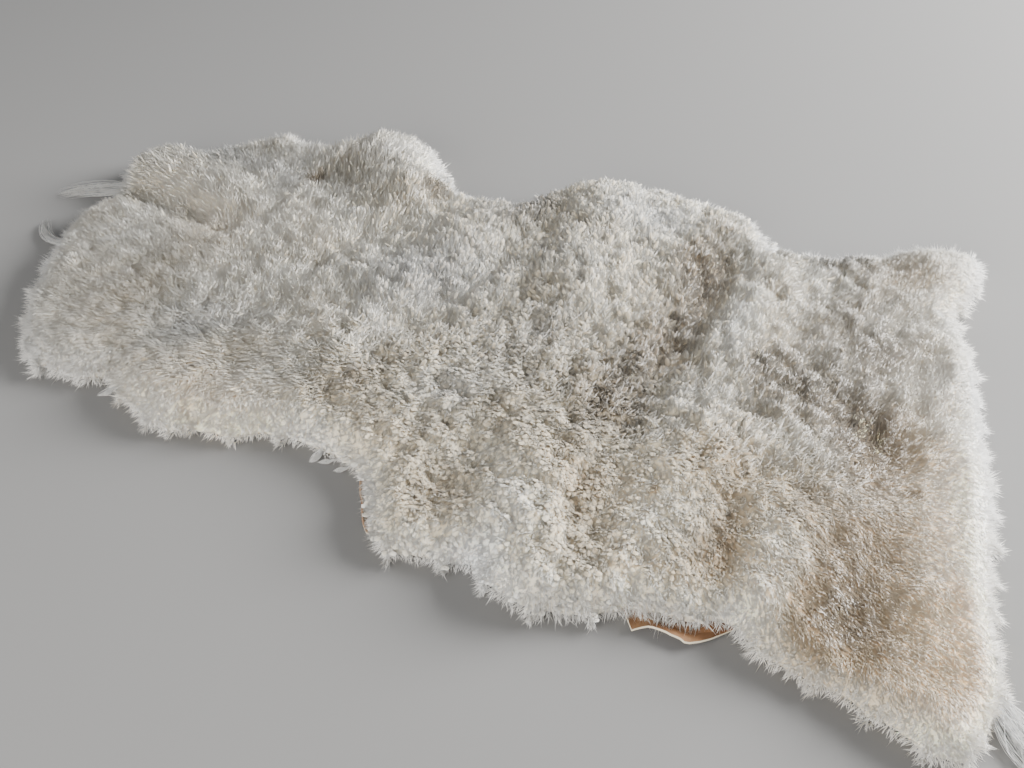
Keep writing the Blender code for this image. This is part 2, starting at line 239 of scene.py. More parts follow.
# %% The comb table
COMB = (
    # place, x, y, reach; heading, lean, droop, twist in degrees; length and width in mm;
    # thinned: share of the strands left out; fine: share of fine hair; clumped: how tufty
    ("neck tip", -0.52, -0.03, 0.07, 160, 72, 6, 40, 11, 1.9, 0.0, 1.0, 0.7),
    ("neck near", -0.43, -0.16, 0.08, 244, 74, 6, 35, 11, 1.9, 0.0, 1.0, 0.8),
    ("neck middle", -0.40, 0.00, 0.08, 140, 64, 14, 60, 10, 2.0, 0.0, 0.95, 0.9),
    ("neck flap", -0.48, 0.13, 0.06, 188, 68, 12, 15, 19, 3.0, 0.0, 0.45, 0.6),
    ("nape", -0.38, 0.20, 0.07, 125, 62, 16, 45, 13, 1.9, 0.0, 0.8, 0.7),
    ("far foreleg", -0.24, 0.27, 0.07, 78, 56, 20, 35, 17, 2.1, 0.0, 0.5, 0.8),
    ("near shoulder", -0.24, -0.19, 0.08, 262, 58, 20, 50, 11, 2.4, 0.0, 0.8, 0.7),
    ("shoulder", -0.24, 0.05, 0.09, 104, 62, 18, 50, 11, 2.8, 0.0, 0.5, 0.8),
    ("withers", -0.10, 0.16, 0.08, 112, 65, 20, 30, 12.5, 4.6, 0.0, 0.1, 1.0),
    ("chest", 0.05, 0.24, 0.10, 102, 65, 20, 30, 13, 4.4, 0.0, 0.1, 1.0),
    ("back", 0.06, 0.09, 0.10, 108, 64, 20, 35, 11.5, 4.8, 0.0, 0.0, 1.3),
    ("spine", 0.14, -0.01, 0.05, 100, 58, 26, 50, 10, 5.2, 0.0, 0.0, 1.3),
    ("near foreleg", 0.03, -0.22, 0.08, 262, 52, 30, 75, 8.5, 5.8, 0.25, 0.0, 1.9),
    ("back low", 0.10, -0.08, 0.08, 285, 50, 28, 70, 9.5, 5.6, 0.15, 0.0, 1.5),
    ("belly", 0.15, -0.28, 0.06, 280, 52, 28, 70, 9, 6.6, 0.45, 0.1, 1.7),
    ("loin far", 0.30, 0.18, 0.08, 75, 66, 18, 40, 11.5, 2.8, 0.0, 0.45, 1.4),
    ("loin", 0.28, 0.00, 0.08, 82, 62, 20, 50, 10, 3.6, 0.0, 0.4, 1.5),
    ("flank", 0.28, -0.21, 0.08, 285, 50, 26, 60, 9, 5.4, 0.3, 0.2, 1.3),
    ("hip", 0.42, 0.06, 0.08, 74, 76, 8, 40, 10, 2.1, 0.1, 0.9, 0.4),
    ("thigh", 0.43, -0.22, 0.08, 322, 82, 8, 60, 8, 1.7, 0.15, 0.9, 0.4),
    ("far rump", 0.46, 0.27, 0.06, 70, 84, 3, 30, 9, 1.6, 0.1, 1.0, 0.3),
    ("rump edge", 0.54, -0.10, 0.07, 350, 86, 0, 24, 8, 1.4, 0.3, 1.0, 0.1),
    ("rump edge low", 0.55, -0.28, 0.06, 330, 86, 0, 24, 8, 1.5, 0.2, 1.0, 0.1),
)
HEADING, LEAN, DROOP, TWIST, LENGTH, WIDTH, THINNED, FINE, CLUMPED, PARTING = range(4, 14)
LEAST_SHARE = 1e-9      # so that a spot far from every place still takes their mean
RIM_COMB_REACH = 0.045  # metres from the rim over which the wool turns outwards
RIM_FADE = 1.5          # above 1, what the rim does fades soon behind it

# %% Reading the comb table


def near_rim(x, y, reach, fade=1.0):
    """1 at the rim, falling to 0 at this reach inside it."""
    return np.clip(1 - at(INSET, x, y) / reach, 0, 1) ** fade


def combed(x, y):
    """Each column of the comb table at each spot; the heading is mixed as a direction.

    Where the places disagree about it the wool has a parting, nearly one at a parting's line.
    """
    columns = [np.array(column) for column in list(zip(*COMB))[1:]]
    place_x, place_y, reach = columns[:3]
    away = (x[:, None] - place_x) ** 2 + (y[:, None] - place_y) ** 2
    share = np.exp(-away / (2 * reach ** 2)) + LEAST_SHARE
    share /= share.sum(axis=1, keepdims=True)
    found = {column: share @ columns[column - 1] for column in range(LEAN, PARTING)}
    turn = np.radians(columns[HEADING - 1])
    way_x, way_y = share @ np.cos(turn), share @ np.sin(turn)
    rim = near_rim(x, y, RIM_COMB_REACH, RIM_FADE)
    way_x = way_x * (1 - rim) + at(OUT_X, x, y) * rim
    way_y = way_y * (1 - rim) + at(OUT_Y, x, y) * rim
    found[HEADING] = np.arctan2(way_y, way_x)
    found[PARTING] = 1 - np.hypot(way_x, way_y)
    return found


print("places in the comb table:", len(COMB))

# %% [markdown]
# ## Clumps
#
# Wool isn't even between one lock and the next either: locks stick together in clumps that
# stand a few millimetres higher or lower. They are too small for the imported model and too
# large for single strands. So we add a noise of two sizes to the raster that the strands stand
# on, by as much as the comb table calls the place tufty.

# %% Clumps
CLUMPS_OF = (
    # metres from one clump to the next, how much higher and lower its wool stands
    (0.020, 0.0038),
    (0.010, 0.0016),
)

raster_x, raster_y = [grid.ravel() for grid in np.meshgrid(XS, YS, indexing="ij")]
CLUMPS = sum(height * np.array([noise.noise(Vector((x, y, size)) / size)
                                for x, y in zip(raster_x, raster_y)])
             for size, height in CLUMPS_OF)
CLUMPS = (CLUMPS * combed(raster_x, raster_y)[CLUMPED]).reshape(SLAB.shape)
TOP += CLUMPS
SLOPE_X, SLOPE_Y = np.gradient(TOP, CELL)
print("clumps, mm:", (1000 * CLUMPS.min()).round(1), "to", (1000 * CLUMPS.max()).round(1))

# %% [markdown]
# ## Colour over the skin
#
# Raw wool is never one white. Grease and sun leave tan and brown places. A table of patches
# names them, and the places where the wool is darker in troughs, hollows and folds (painted
# shade) or lighter on rolls, crests and rims that face the light (painted light): how far each
# reaches, how much it warms the wool and how much it darkens or lightens it. Slow noises break
# up what the table leaves even, and the wool at the rim is painted cooler and paler, as the
# daylight that falls on it would make it.

# %% The colour table
PATCHES = (
    # place, x, y, reach along x and y, turn in degrees, warmth, shade
    # shade: stains' own darkness; painted shade in troughs, hollows, folds; below 0, painted
    # light
    ("rump rim", 0.545, 0.0, 0.036, 0.28, 8, -0.14, -0.16),
    ("far hind rim", 0.355, 0.265, 0.08, 0.026, 5, -0.04, 0.6),
    # painted light where the rump's roll faces the window
    ("rump roll", 0.505, -0.08, 0.04, 0.22, 8, 0.14, -0.76),
    ("rump corner", 0.515, -0.265, 0.048, 0.06, 0, 0.54, -0.4),
    ("hind quarter", 0.42, -0.18, 0.11, 0.15, 0, 0.24, -0.02),
    ("far rump", 0.455, 0.255, 0.06, 0.04, 0, 0.22, -0.24),
    ("far hip", 0.425, 0.12, 0.08, 0.09, -10, 0.06, 0.45),
    ("far hind leg", 0.36, 0.225, 0.04, 0.034, 0, -0.1, 0.08),
    # painted shade along the loin's valley
    ("loin trough", 0.202, 0.19, 0.028, 0.06, -5, 0.26, 0.6),
    ("loin trough middle", 0.202, 0.06, 0.03, 0.07, -12, 0.28, 0.42),
    ("loin trough end", 0.164, -0.045, 0.034, 0.06, -20, 0.16, 0.34),
    ("loin", 0.29, 0.0, 0.05, 0.06, 0, -0.04, 0.28),
    # painted light on the ridge beside that valley
    ("loin ridge light", 0.262, 0.11, 0.018, 0.08, 4, -0.2, -0.28),
    ("loin stain", 0.18, -0.205, 0.022, 0.06, 0, 0.18, 0.15),
    ("foreleg ring", 0.056, -0.25, 0.044, 0.04, 0, 0.18, 0.21),
    ("near foreleg", 0.01, -0.15, 0.06, 0.06, 0, 0.1, 0.14),
    ("thigh stain", 0.44, -0.19, 0.034, 0.06, 0, 0.38, 0.32),
    ("thigh stain low", 0.42, -0.262, 0.03, 0.034, 0, 0.62, 0.27),
    ("flank stain", 0.314, -0.19, 0.024, 0.064, 0, 0.28, 0.3),
    ("hip stain", 0.375, 0.005, 0.06, 0.036, -30, 0.26, 0.3),
    ("buttock stain", 0.44, -0.04, 0.04, 0.05, 0, 0.38, 0.44),
    ("belly light", 0.12, -0.255, 0.036, 0.07, 0, -0.16, -0.26),
    ("flank light", 0.242, -0.175, 0.018, 0.08, 5, -0.08, -0.24),
    ("hind leg light", 0.36, -0.222, 0.026, 0.06, 5, -0.06, -0.5),
    ("back", 0.08, -0.03, 0.08, 0.08, 0, -0.06, 0.18),
    ("neck end", -0.575, -0.03, 0.04, 0.12, 0, -0.06, 0.04),
    ("nape rim", -0.43, 0.195, 0.11, 0.03, -5, -0.3, 0.2),
    ("hind low", 0.468, -0.254, 0.03, 0.036, 0, 0.66, 0.24),
    ("haunch light", 0.429, -0.152, 0.02, 0.026, 0, 0.04, -0.18),
    ("flank hollow", 0.203, -0.277, 0.02, 0.034, 0, 0.06, 0.12),
    ("armpit shade", -0.105, -0.146, 0.05, 0.04, 0, 0.06, 0.22),
    ("back far", 0.07, 0.05, 0.034, 0.06, 0, -0.04, 0.1),
    ("trough foot", 0.19, -0.08, 0.024, 0.034, 0, 0.02, 0.26),
    ("neck crest", -0.389, 0.083, 0.034, 0.022, 0, 0.0, -0.5),
    ("haunch shade", 0.388, -0.112, 0.04, 0.034, 0, 0.04, 0.1),
    ("loin spot", 0.296, 0.044, 0.016, 0.022, 0, 0.04, 0.32),
    ("foreleg edge", 0.018, -0.243, 0.026, 0.05, 0, 0.04, 0.1),
    ("belly stain", 0.15, -0.15, 0.024, 0.034, 0, 0.08, 0.1),
    ("shoulder hollow", -0.235, 0.035, 0.04, 0.026, 0, 0.0, 0.15),
    ("neck end light", -0.5, -0.02, 0.06, 0.07, 0, 0.02, -0.26),
    ("back cool", -0.06, 0.12, 0.16, 0.15, 0, -0.13, 0.12),
    ("back blue", -0.084, 0.046, 0.03, 0.05, 0, -0.2, 0.24),
    ("back blue low", 0.0, -0.105, 0.04, 0.04, 0, -0.22, 0.06),
    # painted shade of a fold near the far rim
    ("chest fold shade", -0.04, 0.235, 0.034, 0.044, -10, -0.14, 0.62),
    ("chest white", 0.11, 0.26, 0.06, 0.034, 0, -0.3, -0.1),
    ("shoulder grey", -0.127, 0.02, 0.034, 0.08, 10, -0.08, 0.01),
    ("near shoulder", -0.227, -0.205, 0.09, 0.045, 0, 0.26, -0.51),
    ("throat valley", -0.31, -0.11, 0.05, 0.024, 35, -0.24, 0.14),
    ("throat light", -0.43, -0.15, 0.05, 0.04, 30, 0.1, -0.2),
    ("neck grease", -0.365, 0.027, 0.06, 0.04, -30, 0.2, -0.19),
    ("neck light", -0.3, 0.09, 0.05, 0.04, 0, 0.06, -0.18),
    ("neck flap", -0.467, 0.118, 0.044, 0.024, -10, 0.09, -0.88),
    ("far foreleg", -0.225, 0.27, 0.044, 0.03, 0, -0.14, -0.5),
    ("nape stain", -0.316, 0.196, 0.01, 0.014, 0, 0.62, 0.38),
    ("nape hollow", -0.3, 0.196, 0.03, 0.03, 0, 0.0, 0.06),
    ("rust spot", 0.473, -0.087, 0.006, 0.006, 0, 0.9, 0.7),
    ("rust spot far", -0.156, 0.226, 0.016, 0.026, 0, 0.3, 0.56),
    ("rust spot flank", 0.241, -0.172, 0.004, 0.004, 0, 0.65, 0.28),
)
WARMTH = 0.58     # how cream the wool is where no patch is
SHADE = 0.37      # and how dark
DARKEST = 0.86    # no wool is darker than this
PATCH_FADE = 1.3  # how softly a patch ends
# how far a noise goes either way, metres from one swing of it to the next, its layer
WARMTH_NOISE = (0.20, 0.07, 3.7)
SHADE_NOISE = (0.10, 0.045, 9.1)
TUFT_NOISE = (0.10, 0.0085, 5.3)  # shade again, from tuft to tuft
# how much, and metres from the rim over which it fades
# both are painted: the daylight's cool tint on the rim, and light on it
RIM_COOL = (0.30, 0.030)   # the outermost wool is less warm
RIM_LIGHT = (0.34, 0.055)  # and less dark
print("patches:", len(PATCHES))

# %% Reading the colour table


def swing(x, y, most, size, layer):
    """Smooth noise over the rug, about -most to most."""
    return most * np.array([noise.noise(Vector((a / size, b / size, layer)))
                            for a, b in zip(x, y)])


def coloured(x, y):
    """Warmth and shade of the wool at each spot; the shade holds painted shade and light too."""
    warm = WARMTH + swing(x, y, *WARMTH_NOISE)
    shade = SHADE + swing(x, y, *SHADE_NOISE)
    shade += swing(x, y, *TUFT_NOISE) * combed(x, y)[CLUMPED]
    # the patches: stains, and painted shade and painted light of the folds and rolls
    for _, px, py, reach_x, reach_y, turn, warmth, darker in PATCHES:
        c, s = math.cos(math.radians(turn)), math.sin(math.radians(turn))
        a = ((x - px) * c + (y - py) * s) / reach_x
        b = ((y - py) * c - (x - px) * s) / reach_y
        share = np.exp(-(a * a + b * b) / PATCH_FADE)
        warm += warmth * share
        shade += darker * share
    # painted cool daylight and painted light at the rim
    warm -= RIM_COOL[0] * near_rim(x, y, RIM_COOL[1])
    shade -= RIM_LIGHT[0] * near_rim(x, y, RIM_LIGHT[1], RIM_FADE)
    return warm, np.minimum(shade, DARKEST)


# %% [markdown]
# ## One strand, and many
#
# A strand is a thin tapered horn: three or four sides are enough at this size, because its
# smooth shading hides the corners. Hair curves would be lighter, but they aren't a mesh, and
# this rug is also exported as one. A path is walked in a few steps. At each step the strand
# leans further over and turns aside, and that alone makes a straight hair, a hook or a curl.

# %% The path of a strand
TURNED_BACK = 0.25  # share of its twist that a strand's root is turned back


def walked(roots, normals, heading, lean, droop, twist, length, marks):
    """Points at the marks of each strand, which leans further over and turns aside as it goes."""
    share = (np.array(marks[1:]) + np.array(marks[:-1])) / 2
    turn = heading[:, None] + np.radians(twist)[:, None] * (share - TURNED_BACK)
    tilt = np.radians(lean)[:, None] + np.radians(droop)[:, None] * share
    flat = np.stack([np.cos(turn), np.sin(turn), np.zeros(turn.shape)], axis=-1)
    upward = normals[:, None, :]
    flat = flat - upward * (flat * upward).sum(axis=-1, keepdims=True)
    way = flat * np.sin(tilt)[..., None] + upward * np.cos(tilt)[..., None]
    walk = np.cumsum(way * (length[:, None] * np.diff(marks))[..., None], axis=1)
    return np.concatenate([roots[:, None, :], roots[:, None, :] + walk], axis=1)


# %% A horn along the path
ASKEW = (0.11, 0.07, 0.99)  # nearly upright, but no strand grows just this way


def horns(paths, widths, profile, sides, flatness):
    """Corner points, outward directions and triangles of a tapered horn along each path.

    A horn's thickness is its width times the flatness.
    """
    count, points = paths.shape[:2]
    along = np.gradient(paths, axis=1)
    along /= np.linalg.norm(along, axis=2, keepdims=True)
    side = np.cross(along, np.array(ASKEW))
    side /= np.linalg.norm(side, axis=2, keepdims=True)
    other = np.cross(along, side) * flatness
    rings = points - 1
    turn = 2 * np.pi * np.arange(sides) / sides - np.pi / 2
    radius = (widths[:, None] * np.array(profile)[None, :] / 2)[..., None, None]
    ring = (side[:, :rings, None] * np.cos(turn)[:, None]
            + other[:, :rings, None] * np.sin(turn)[:, None])
    corners = (paths[:, :rings, None] + ring * radius).reshape(count, rings * sides, 3)
    corners = np.concatenate([corners, paths[:, -1:]], axis=1)
    outward = np.concatenate([ring.reshape(count, rings * sides, 3), along[:, -1:]], axis=1)
    faces = [(0, j + 1, j) for j in range(1, sides - 1)]
    for k in range(rings - 1):
        for j in range(sides):
            a, b = k * sides + j, k * sides + (j + 1) % sides
            faces += [(a, b, b + sides), (a, b + sides, a + sides)]
    for j in range(sides):
        a, b = (rings - 1) * sides + j, (rings - 1) * sides + (j + 1) % sides
        faces.append((a, b, rings * sides))
    first = np.arange(count)[:, None, None] * corners.shape[1]
    return corners.reshape(-1, 3), outward, (np.array(faces)[None] + first).reshape(-1, 3)


# %% A piece made of horns
STEEPEST = 1.5  # the wool's surface counts as no steeper than this


def mark_corners(mesh, marks):
    """Store the values of each mark, one at every corner of a mesh."""
    for mark, values in marks.items():
        layer = mesh.attributes.new(mark, 'FLOAT', 'POINT')
        layer.data.foreach_set("value", values.astype(np.float32))


def mesh_piece(name, corners, normals, faces, marks):
    """A smooth mesh object from arrays, with one value of each mark at every corner."""
    mesh = bpy.data.meshes.new(name)
    mesh.vertices.add(len(corners))
    mesh.vertices.foreach_set("co", corners.astype(np.float32).ravel())
    mesh.loops.add(faces.size)
    mesh.loops.foreach_set("vertex_index", faces.astype(np.int32).ravel())
    mesh.polygons.add(len(faces))
    mesh.polygons.foreach_set("loop_start", np.arange(0, faces.size, 3, dtype=np.int32))
    mesh.update()
    mesh.shade_smooth()
    mesh.normals_split_custom_set_from_vertices(normals)
    mark_corners(mesh, marks)
    piece = in_scene(name, mesh)
    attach(piece, "root")
    print(name, "triangles:", len(faces))
    return piece


def facing(x, y):
    """Unit normals of the wool's surface."""
    slope = np.stack([-at(SLOPE_X, x, y), -at(SLOPE_Y, x, y), np.ones(len(x))], axis=1)
    slope[:, :2] = np.clip(slope[:, :2], -STEEPEST, STEEPEST)
    return slope / np.linalg.norm(slope, axis=1, keepdims=True)


def strand_piece(name, paths, widths, profile, sides, flatness, soft, root, warm, shade, luck):
    """A piece made of strands; each corner knows where on its strand it is, from root to 1.

    Light scatters inside wool, so a strand is lit much as the wool round it: its shading
    normals are bent towards the fleece's own, by the share that soft says.
    """
    corners, outward, faces = horns(paths, widths, profile, sides, flatness)
    rings = paths.shape[1] - 1
    along = root + (1 - root) * np.append(np.repeat(np.arange(rings) / rings, sides), 1.0)
    each = len(along)
    ground = facing(paths[:, 0, 0], paths[:, 0, 1])[:, None]
    bent = outward * (1 - soft) + ground * soft
    bent /= np.linalg.norm(bent, axis=2, keepdims=True)
    return mesh_piece(name, corners, bent.reshape(-1, 3), faces, {
        "along": np.tile(along, len(paths)),
        "warm": np.repeat(warm, each),
        "shade": np.repeat(shade, each),
        "luck": np.repeat(luck, each),
    })


# %% [markdown]
# ## The locks of the pile
#
# In real wool, fibres stick together into locks with shaded gaps between them. Over the back
# each lock is short, stout and curled, like a crumb; at the neck and the rump it's combed out
# into fine hair. Bundles of many hairs would be truer, but would cost millions of triangles.
# So a crumb is one stout horn and a fine lock is one thin flat one, and the comb table says
# how the two are mixed. Some fine hair grows everywhere, and keeps crumbs from looking like
# gravel.
#
# Crumbs on a plain grid would show as rows, and would stand too far apart on a slope. We throw
# many spots at random instead, and keep each that isn't too near to one kept before. Fine hairs
# stand so close that a grid, well shaken, is enough for them.

# %% How close the locks stand
LUCK = np.random.default_rng(7)
CRUMB_SPACING = 0.0039  # metres between two crumbs, along the surface
HAIR_SPACING = 0.0020
HAIR_EVERYWHERE = 0.42  # share of fine hair even where the crumbs are
THROWN = 190000         # spots thrown at random for the crumbs to choose from
HAIR_SHAKE = 0.6        # how far a hair is shaken off its grid, in spacings
BARE_EDGE = 0.001       # metres from the rim that carry no strand of the pile


def spread_out(points, spacing):
    """The points, in their order, that keep their distance from all that are kept before."""
    kept, cells = [], {}
    for k, point in enumerate(points):
        home = tuple((point // spacing).astype(int))
        near = [other for i in (-1, 0, 1) for j in (-1, 0, 1) for h in (-1, 0, 1)
                for other in cells.get((home[0] + i, home[1] + j, home[2] + h), ())]
        if all(((points[other] - point) ** 2).sum() > spacing ** 2 for other in near):
            cells.setdefault(home, []).append(k)
            kept.append(k)
    return points[kept]


def on_wool(places):
    """Those of the places that lie on the slab."""
    return places[at(INSET, *places.T) > BARE_EDGE]


# %% Scatter crumbs and hairs
thrown = on_wool(LUCK.uniform(LOW[:2], np.array(CAD_BOX[1])[:2], (THROWN, 2)))
crumb_spots = spread_out(np.column_stack([thrown, at(TOP, *thrown.T)]), CRUMB_SPACING)[:, :2]
there = combed(*crumb_spots.T)
chance = (1 - there[FINE]) * (1 - there[THINNED])
crumb_spots = crumb_spots[LUCK.uniform(0, 1, len(crumb_spots)) < chance]

even = np.stack(np.meshgrid(np.arange(CAD_BOX[0][0], CAD_BOX[1][0], HAIR_SPACING),
                            np.arange(CAD_BOX[0][1], CAD_BOX[1][1], HAIR_SPACING)), axis=-1)
even = even.reshape(-1, 2)
hair_spots = on_wool(even + LUCK.uniform(-HAIR_SHAKE, HAIR_SHAKE, even.shape) * HAIR_SPACING)
there = combed(*hair_spots.T)
share = np.maximum(there[FINE] * (1 - there[THINNED]), HAIR_EVERYWHERE)
hair_spots = hair_spots[LUCK.uniform(0, 1, len(hair_spots)) < share]
print("crumbs:", len(crumb_spots), "fine hairs:", len(hair_spots))

# %% Two kinds of strand
CRUMB = {
    "marks": (0.0, 0.45, 0.85, 1.0),  # its points, from root to tip
    "profile": (0.80, 1.0, 0.70),     # its width at each but the last
    "sides": 4,
    "flatness": 0.7,
    "soft": 0.86,    # how far its shading is that of the wool round it
    "root": 0.66,    # where its root counts as being along a lock
    "spread": 0.40,  # radians that its heading strays
    "sink": 0.0027,  # metres that its root is sunk
    "variety": 0.7,  # of luck, which the colour reads
    "widest": 9.0,   # mm
}
HAIR = {
    "marks": (0.0, 1.0), "profile": (1.0,), "sides": 3, "flatness": 0.4, "soft": 0.96,
    "root": 0.84, "spread": 0.40, "sink": 0.0010, "variety": 0.4, "widest": 3.2,
}
PARTING_SPREAD = 2.5      # radians that headings stray more on a parting
PARTING_LIFT = 0.4        # share by which wool leans less there
LEAN_STRAYS = 7           # degrees
TWIST_SHARE = (0.3, 1.0)  # from least to most, of what the comb table says
LENGTH_SHARE = (0.7, 1.2)
WIDTH_SHARE = (0.65, 1.35)
WARMTH_STRAYS = 0.05      # from strand to strand
SHADE_STRAYS = 0.03
PILE_LOWEST = 0.001       # metres above the floor


def grow_locks(spots, kind):
    """All that strand_piece needs for the strands of one kind at these spots."""
    count = len(spots)
    x, y = spots.T
    comb = combed(x, y)
    parting = np.clip(comb[PARTING], 0, 1) ** 2
    stray = kind["spread"] + PARTING_SPREAD * parting
    heading = comb[HEADING] + LUCK.normal(0, 1, count) * stray
    twist = comb[TWIST] * LUCK.choice([-1, 1], count) * LUCK.uniform(*TWIST_SHARE, count)
    length = comb[LENGTH] * LUCK.uniform(*LENGTH_SHARE, count) / 1000
    lean = comb[LEAN] * (1 - PARTING_LIFT * parting) + LUCK.normal(0, LEAN_STRAYS, count)
    normals = facing(x, y)
    roots = np.stack([x, y, at(TOP, x, y)], axis=1) - normals * kind["sink"]
    paths = walked(roots, normals, heading, lean, comb[DROOP], twist, length, kind["marks"])
    paths[..., 2] = np.maximum(paths[..., 2], PILE_LOWEST)
    widths = np.minimum(comb[WIDTH], kind["widest"]) * LUCK.uniform(*WIDTH_SHARE, count) / 1000
    warm, shade = coloured(x, y)
    return (paths, widths, kind["profile"], kind["sides"], kind["flatness"], kind["soft"],
            kind["root"], warm + LUCK.normal(0, WARMTH_STRAYS, count),
            shade + LUCK.normal(0, SHADE_STRAYS, count),
            0.5 + kind["variety"] * LUCK.uniform(-0.5, 0.5, count))


# %% Grow the pile
ZONES = (
    # piece, kind of strand, its spots, from x, to x
    ("crumbs_front", CRUMB, crumb_spots, -1.0, 0.10),
    ("crumbs_hind", CRUMB, crumb_spots, 0.10, 1.0),
    ("fine_wool_neck", HAIR, hair_spots, -1.0, -0.30),
    ("fine_wool_shoulder", HAIR, hair_spots, -0.30, 0.25),
    ("fine_wool_rump", HAIR, hair_spots, 0.25, 1.0),
)
WOOL = []
for name, kind, places, start, stop in ZONES:
    mine = places[(places[:, 0] >= start) & (places[:, 0] < stop)]
    WOOL.append(strand_piece(name, *grow_locks(mine, kind)))

# %% [markdown]
# ## The dense wool below
#
# Between the locks one sees down to a felt of short wool, not to the floor. We copy the
# model's fleece, pull its wedge locks back into the slab, and let a voxel remesh melt it into
# one even skin. Then its top is laid just under the clumped wool, so that it never shows as a
# bald spot. It stands for the fleece of the model.

# %% Pull the fleece's edge in
UNDER_INSET = 0.0035      # it ends this far inside the rim
UNDER_SINK = 0.0007       # depth of its top in the clumped wool
UNDER_SINK_FINE = 0.0009  # and how much deeper it lies in fine wool


def corners_of(mesh):
    """The places of a mesh's corners, one row each."""
    points = np.empty(len(mesh.vertices) * 3)
    mesh.vertices.foreach_get("co", points)
    return points.reshape(-1, 3)


def put_corners(mesh, points):
    """Move a mesh's corners to these places."""
    mesh.vertices.foreach_set("co", points.ravel())
    mesh.update()


under_mesh = FLEECE.data.copy()
under_mesh.name = "under_wool"
points = corners_of(under_mesh)
x, y, z = points.T
on_top = (z > SLAB_EDGE) & (at(INSET, x, y) > 0)
points[:, 2] -= on_top * UNDER_SINK
for point in points:
    edge, _, away = rim_tree.find((point[0], point[1], 0))
    inside = at(INSET, point[0], point[1]) > 0
    if away < UNDER_INSET or not inside:
        point[0] = edge.x - at(OUT_X, edge.x, edge.y) * UNDER_INSET
        point[1] = edge.y - at(OUT_Y, edge.x, edge.y) * UNDER_INSET
put_corners(under_mesh, points)
under = in_scene("under_wool", under_mesh)
print("fleece corners:", len(points))

# %% Melt it into one skin
UNDER_VOXEL = 0.0045
SOFTENED = (0.6, 3)  # how strongly, how often

melt = under.modifiers.new("melt", 'REMESH')
melt.mode = 'VOXEL'
melt.voxel_size = UNDER_VOXEL
melt.use_smooth_shade = True
soften = under.modifiers.new("soften", 'SMOOTH')
soften.factor, soften.iterations = SOFTENED
ready = under.evaluated_get(bpy.context.evaluated_depsgraph_get())
under_final = bpy.data.meshes.new_from_object(ready)
under.modifiers.clear()
under.data = under_final
print("under-wool faces:", len(under_final.polygons))

# %% Lay its top under the clumps, and mark it
UNDER_BLEND = 0.008         # metres from the rim over which it starts to follow the clumps
# painted light on the felt, against the shadow that the strands cast on it
UNDER_LIGHT = 0.26          # less dark by this, as little light falls below the strands
UNDER_LIGHT_FINE = 0.9      # but less so in fine wool, by this share
UNDER_ALONG = (0.66, 0.22)  # its mark along a lock, and how much more in fine wool

points = corners_of(under_final)
x, y, z = points.T
deep = np.clip(at(INSET, x, y) / UNDER_BLEND - 0.5, 0, 1) * (z > SLAB_EDGE)
fine = combed(x, y)[FINE]
points[:, 2] += deep * (at(TOP, x, y) - UNDER_SINK - UNDER_SINK_FINE * fine - z)
put_corners(under_final, points)
warm, shade = coloured(x, y)
# the felt's shade carries that painted light
mark_corners(under_final, {
    "along": UNDER_ALONG[0] + UNDER_ALONG[1] * fine,
    "warm": warm,
    "shade": shade - UNDER_LIGHT * (1 - UNDER_LIGHT_FINE * fine),
    "luck": np.full(len(x), 0.5),
})
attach(under, "root")
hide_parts("fleece")
WOOL.append(under)
print("its top, mm:", (1000 * points[:, 2].max()).round(1))

# %% [markdown]
# ## The rim
#
# Round the edge the wool hangs out over the floor in longer pointed tufts. They grow out of
# the slab's rounded side in rows, one above the other: the lowest lie on the floor, and the
# upper ones stand out and close the gap to the pile. A short table makes them longer at the
# neck, the throat and the near flank, and shorter in the near armpit.

# %% How the rim's tufts grow
RIM_TURNS = (2, 11, 20, 30, 40, 50, 60, 70)  # degrees from level, one row of tufts each
RIM_ROUND = 0.009                            # the slab's edge is rounded over this width
RIM_SUNK = 0.003                             # metres that roots are sunk behind it
RIM_LENGTH = 0.0098
RIM_LONGER = (
    # place, x, y, reach, how much longer the rim's wool is there
    ("near flank", 0.305, -0.285, 0.045, 0.35),
    ("near flank middle", 0.286, -0.290, 0.016, 0.35),
    ("near flank front", 0.222, -0.305, 0.010, -0.50),
    ("near armpit", -0.085, -0.205, 0.045, -0.40),
    ("throat", -0.470, -0.170, 0.080, 0.25),
    ("neck end", -0.560, -0.030, 0.070, 0.15),
)
RIM_TUFT = 6            # hairs that share one place, and close up a little
RIM_SPACING = 0.0032    # from tuft to tuft
RIM_WIDTH = (0.6, 1.3)  # mm
RIM_SHARE = (0.5, 1.2)  # of its tuft's length that a hair has
RIM_LOWEST = 0.0007     # metres above the floor
RIM_LUCK = (0.2, 0.8)
RIM_RISE = (0.42, -10)  # a hair's: this share of its row's, and degrees more
ROOT_LOWEST = 0.003     # height of the lowest row's roots
TOP_SUNK = 0.002        # depth of the highest row's roots below the wool behind them
# how far these stray from tuft to tuft, and from hair to hair
STRAY_HEADING = (0.32, 0.25)  # radians
STRAY_RISE = (7, 9)           # degrees
STRAY_LENGTH = 0.18           # a share, from tuft to tuft only
STRAY_ROOT = 0.0014           # metres, from hair to hair only
UP = np.array([0.0, 0.0, 1.0])

# %% Grow the rim, row by row
rim_order = np.array([(XS[i], YS[j], 0) for i, j in rim_cells])

